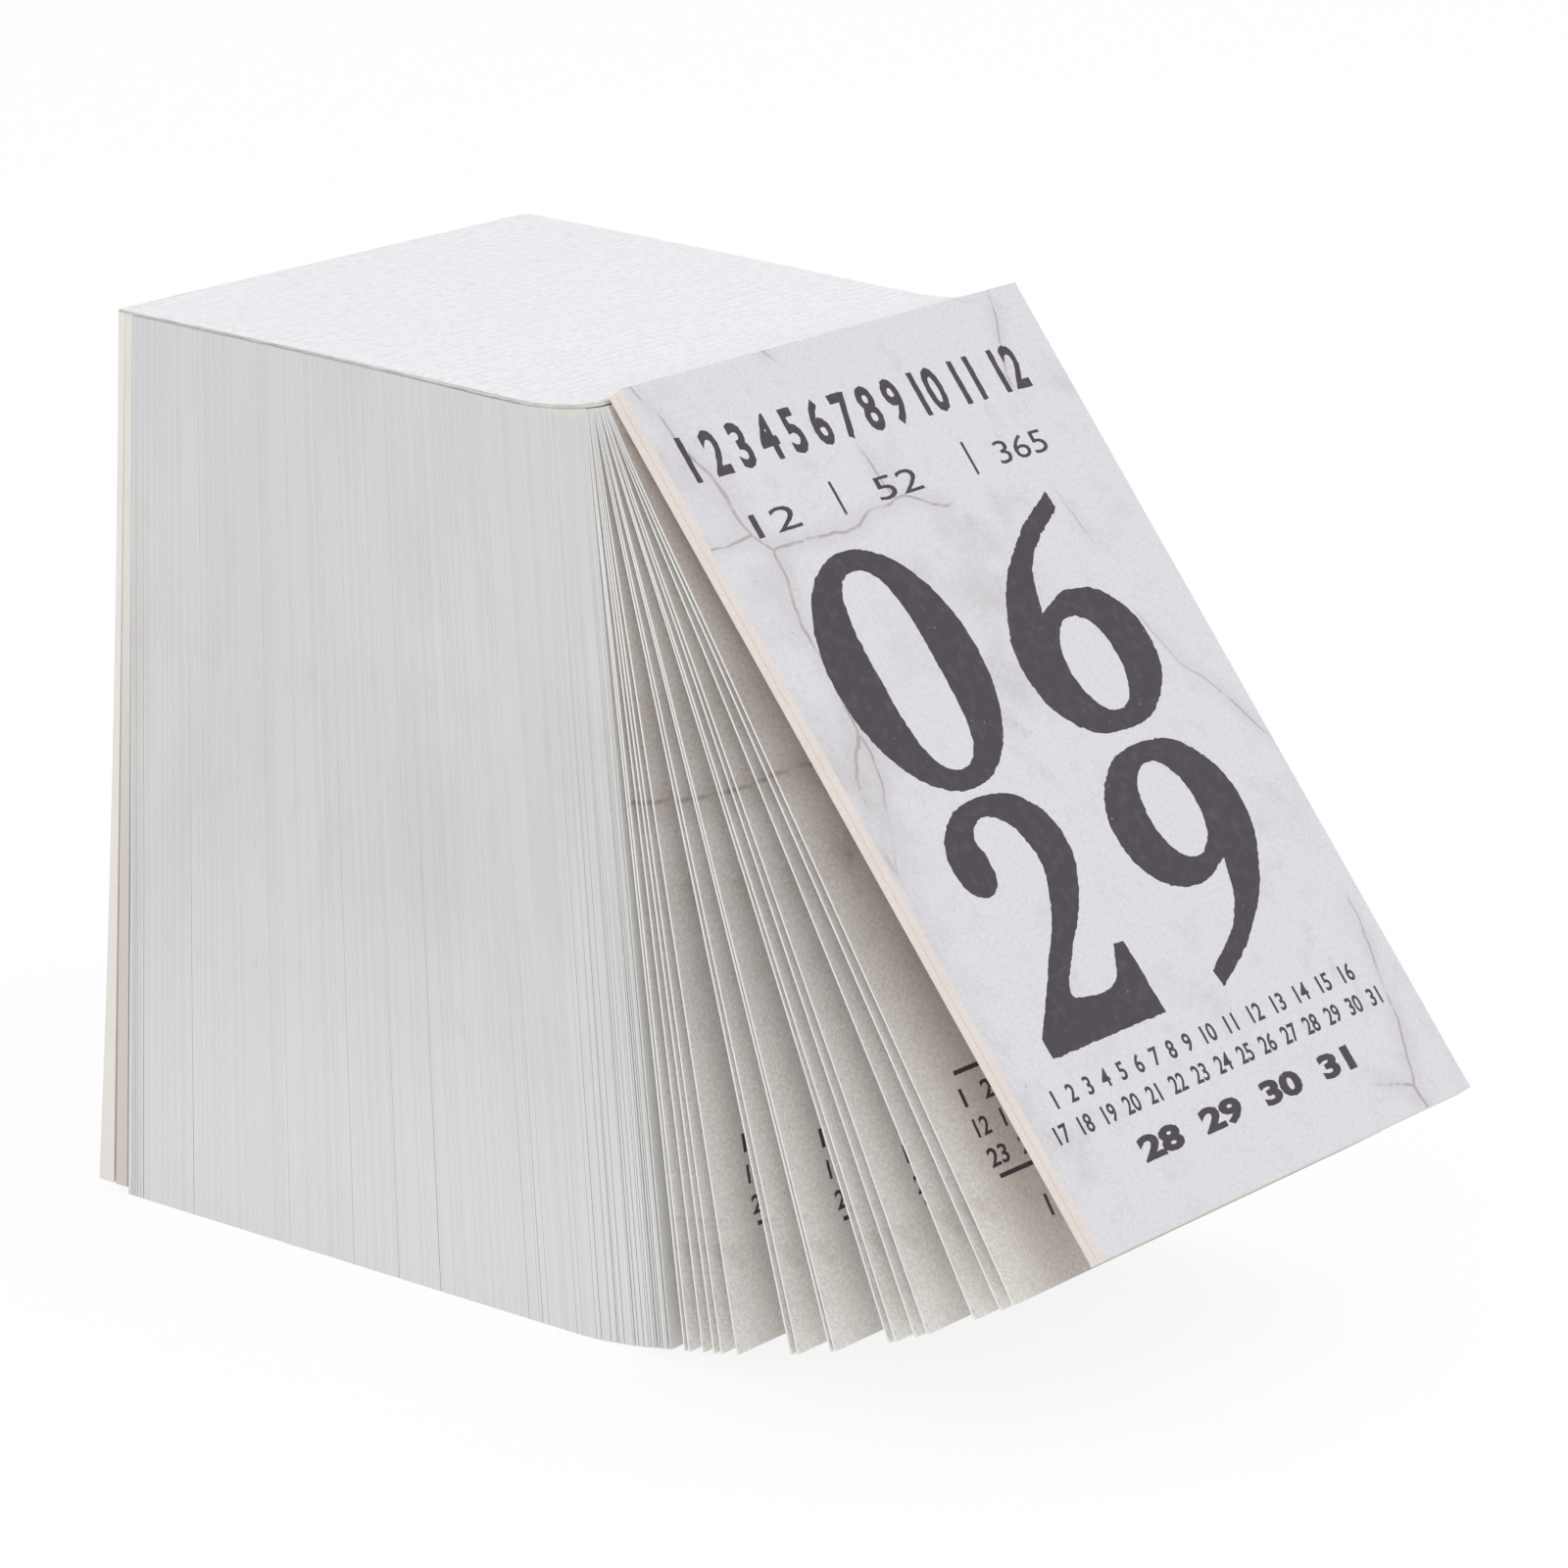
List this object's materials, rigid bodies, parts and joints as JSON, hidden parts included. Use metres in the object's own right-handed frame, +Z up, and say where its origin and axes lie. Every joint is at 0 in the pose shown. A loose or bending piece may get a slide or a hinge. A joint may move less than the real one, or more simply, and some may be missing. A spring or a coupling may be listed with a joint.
{
  "type": "tear-off day calendar",
  "caption": "Thick pad of paper day leaves glued under a woven spine strip, standing upright with its card cover and first leaves fanned forward; leaves turn and tear off.",
  "frame": {"origin": "on the table under the calendar, midway across its width and midway between the cover's front edge and the back cover", "axes": "X across the width, +Y towards the back cover so that the cover faces -Y, +Z up from the table to the spine"},
  "size_m": [0.056, 0.1084, 0.0832],
  "materials": {
    "day_leaf": "uncoated printed paper",
    "cover_print": "matt printed card with cream cut edges",
    "plain_card": "uncoated cream card",
    "spine_glue": "dried padding glue",
    "spine_gauze": "white gauze set in glue"
  },
  "bodies": {
    "pad": {"back_cover": "plain_card", "back_inner_card": "plain_card", "spine_glue": "spine_glue", "spine_gauze": "spine_gauze", "leaves_january": "day_leaf", "leaves_february": "day_leaf", "leaves_march": "day_leaf", "leaves_april": "day_leaf", "leaves_may": "day_leaf", "leaves_june": "day_leaf", "leaves_july": "day_leaf", "leaves_august": "day_leaf", "leaves_september": "day_leaf", "leaves_october": "day_leaf", "leaves_november": "day_leaf", "leaves_december": "day_leaf"},
    "front_inner_card": {"front_inner_card": "plain_card"},
    "front_cover": {"front_cover": "cover_print"},
    "leaf_january_01": {"leaf_january_01": "day_leaf"},
    "leaf_january_02": {"leaf_january_02": "day_leaf"},
    "leaf_january_03": {"leaf_january_03": "day_leaf"},
    "leaf_january_04": {"leaf_january_04": "day_leaf"},
    "leaf_january_05": {"leaf_january_05": "day_leaf"},
    "leaf_january_06": {"leaf_january_06": "day_leaf"},
    "leaf_january_07": {"leaf_january_07": "day_leaf"},
    "leaf_january_08": {"leaf_january_08": "day_leaf"},
    "leaf_january_09": {"leaf_january_09": "day_leaf"},
    "leaf_january_10": {"leaf_january_10": "day_leaf"},
    "leaf_january_11": {"leaf_january_11": "day_leaf"},
    "leaf_january_12": {"leaf_january_12": "day_leaf"},
    "leaf_january_13": {"leaf_january_13": "day_leaf"},
    "leaf_january_14": {"leaf_january_14": "day_leaf"},
    "leaf_january_15": {"leaf_january_15": "day_leaf"},
    "leaf_january_16": {"leaf_january_16": "day_leaf"},
    "leaf_january_17": {"leaf_january_17": "day_leaf"}
  },
  "joints": [
    {"name": "fan_open", "type": "hinge", "parent": "pad", "child": "front_inner_card", "pos_m": [0, -0.00169, 0.08218], "axis": [-1, 0, 0], "range_deg": [-29.25, 20]},
    {"name": "cover_flip", "type": "hinge", "parent": "front_inner_card", "child": "front_cover", "pos_m": [0, -0.00232, 0.0827], "axis": [-1, 0, 0], "range_deg": [0, 120]},
    {"name": "day_leaf_tear", "type": "slide", "parent": "leaf_january_02", "child": "leaf_january_01", "axis": [1, 0, 0], "range_m": [0, 0.07]},
    {"name": "leaf_02_turn", "type": "hinge", "parent": "pad", "child": "leaf_january_02", "pos_m": [0, -0.00146, 0.08149], "axis": [-1, 0, 0], "range_deg": [-23.86, 16.32]},
    {"name": "leaf_03_turn", "type": "hinge", "parent": "pad", "child": "leaf_january_03", "pos_m": [0, -0.00132, 0.08144], "axis": [-1, 0, 0], "range_deg": [-21.83, 14.93]},
    {"name": "leaf_04_turn", "type": "hinge", "parent": "pad", "child": "leaf_january_04", "pos_m": [0, -0.00119, 0.0814], "axis": [-1, 0, 0], "range_deg": [-18.23, 12.47]},
    {"name": "leaf_05_turn", "type": "hinge", "parent": "pad", "child": "leaf_january_05", "pos_m": [0, -0.00105, 0.08136], "axis": [-1, 0, 0], "range_deg": [-17.37, 11.88]},
    {"name": "leaf_06_turn", "type": "hinge", "parent": "pad", "child": "leaf_january_06", "pos_m": [0, -0.00091, 0.08131], "axis": [-1, 0, 0], "range_deg": [-15.97, 10.92]},
    {"name": "leaf_07_turn", "type": "hinge", "parent": "pad", "child": "leaf_january_07", "pos_m": [0, -0.00077, 0.08127], "axis": [-1, 0, 0], "range_deg": [-15.5, 10.6]},
    {"name": "leaf_08_turn", "type": "hinge", "parent": "pad", "child": "leaf_january_08", "pos_m": [0, -0.00064, 0.08123], "axis": [-1, 0, 0], "range_deg": [-11.47, 7.85]},
    {"name": "leaf_09_turn", "type": "hinge", "parent": "pad", "child": "leaf_january_09", "pos_m": [0, -0.0005, 0.08119], "axis": [-1, 0, 0], "range_deg": [-11.27, 7.71]},
    {"name": "leaf_10_turn", "type": "hinge", "parent": "pad", "child": "leaf_january_10", "pos_m": [0, -0.00036, 0.08115], "axis": [-1, 0, 0], "range_deg": [-8.83, 6.04]},
    {"name": "leaf_11_turn", "type": "hinge", "parent": "pad", "child": "leaf_january_11", "pos_m": [0, -0.00022, 0.08111], "axis": [-1, 0, 0], "range_deg": [-8.43, 5.77]},
    {"name": "leaf_12_turn", "type": "hinge", "parent": "pad", "child": "leaf_january_12", "pos_m": [0, -0.00009, 0.08107], "axis": [-1, 0, 0], "range_deg": [-4.44, 3.04]},
    {"name": "leaf_13_turn", "type": "hinge", "parent": "pad", "child": "leaf_january_13", "pos_m": [0, 0.00005, 0.08103], "axis": [-1, 0, 0], "range_deg": [-3.29, 2.25]},
    {"name": "leaf_14_turn", "type": "hinge", "parent": "pad", "child": "leaf_january_14", "pos_m": [0, 0.00019, 0.081], "axis": [-1, 0, 0], "range_deg": [-2.84, 1.95]},
    {"name": "leaf_15_turn", "type": "hinge", "parent": "pad", "child": "leaf_january_15", "pos_m": [0, 0.00033, 0.08096], "axis": [-1, 0, 0], "range_deg": [-2.09, 1.43]},
    {"name": "leaf_16_turn", "type": "hinge", "parent": "pad", "child": "leaf_january_16", "pos_m": [0, 0.00047, 0.08092], "axis": [-1, 0, 0], "range_deg": [-1.17, 0.8]},
    {"name": "leaf_17_turn", "type": "hinge", "parent": "pad", "child": "leaf_january_17", "pos_m": [0, 0.00061, 0.08089], "axis": [-1, 0, 0], "range_deg": [-0.94, 0.65]}
  ],
  "couplings": [
    {"joint": "leaf_02_turn", "follows": "fan_open", "ratio": 0.81539},
    {"joint": "leaf_03_turn", "follows": "fan_open", "ratio": 0.74598},
    {"joint": "leaf_04_turn", "follows": "fan_open", "ratio": 0.62291},
    {"joint": "leaf_05_turn", "follows": "fan_open", "ratio": 0.5935},
    {"joint": "leaf_06_turn", "follows": "fan_open", "ratio": 0.54564},
    {"joint": "leaf_07_turn", "follows": "fan_open", "ratio": 0.52957},
    {"joint": "leaf_08_turn", "follows": "fan_open", "ratio": 0.3918},
    {"joint": "leaf_09_turn", "follows": "fan_open", "ratio": 0.38496},
    {"joint": "leaf_10_turn", "follows": "fan_open", "ratio": 0.30154},
    {"joint": "leaf_11_turn", "follows": "fan_open", "ratio": 0.28786},
    {"joint": "leaf_12_turn", "follows": "fan_open", "ratio": 0.15145},
    {"joint": "leaf_13_turn", "follows": "fan_open", "ratio": 0.11214},
    {"joint": "leaf_14_turn", "follows": "fan_open", "ratio": 0.096752},
    {"joint": "leaf_15_turn", "follows": "fan_open", "ratio": 0.071111},
    {"joint": "leaf_16_turn", "follows": "fan_open", "ratio": 0.039658},
    {"joint": "leaf_17_turn", "follows": "fan_open", "ratio": 0.031795}
  ]
}
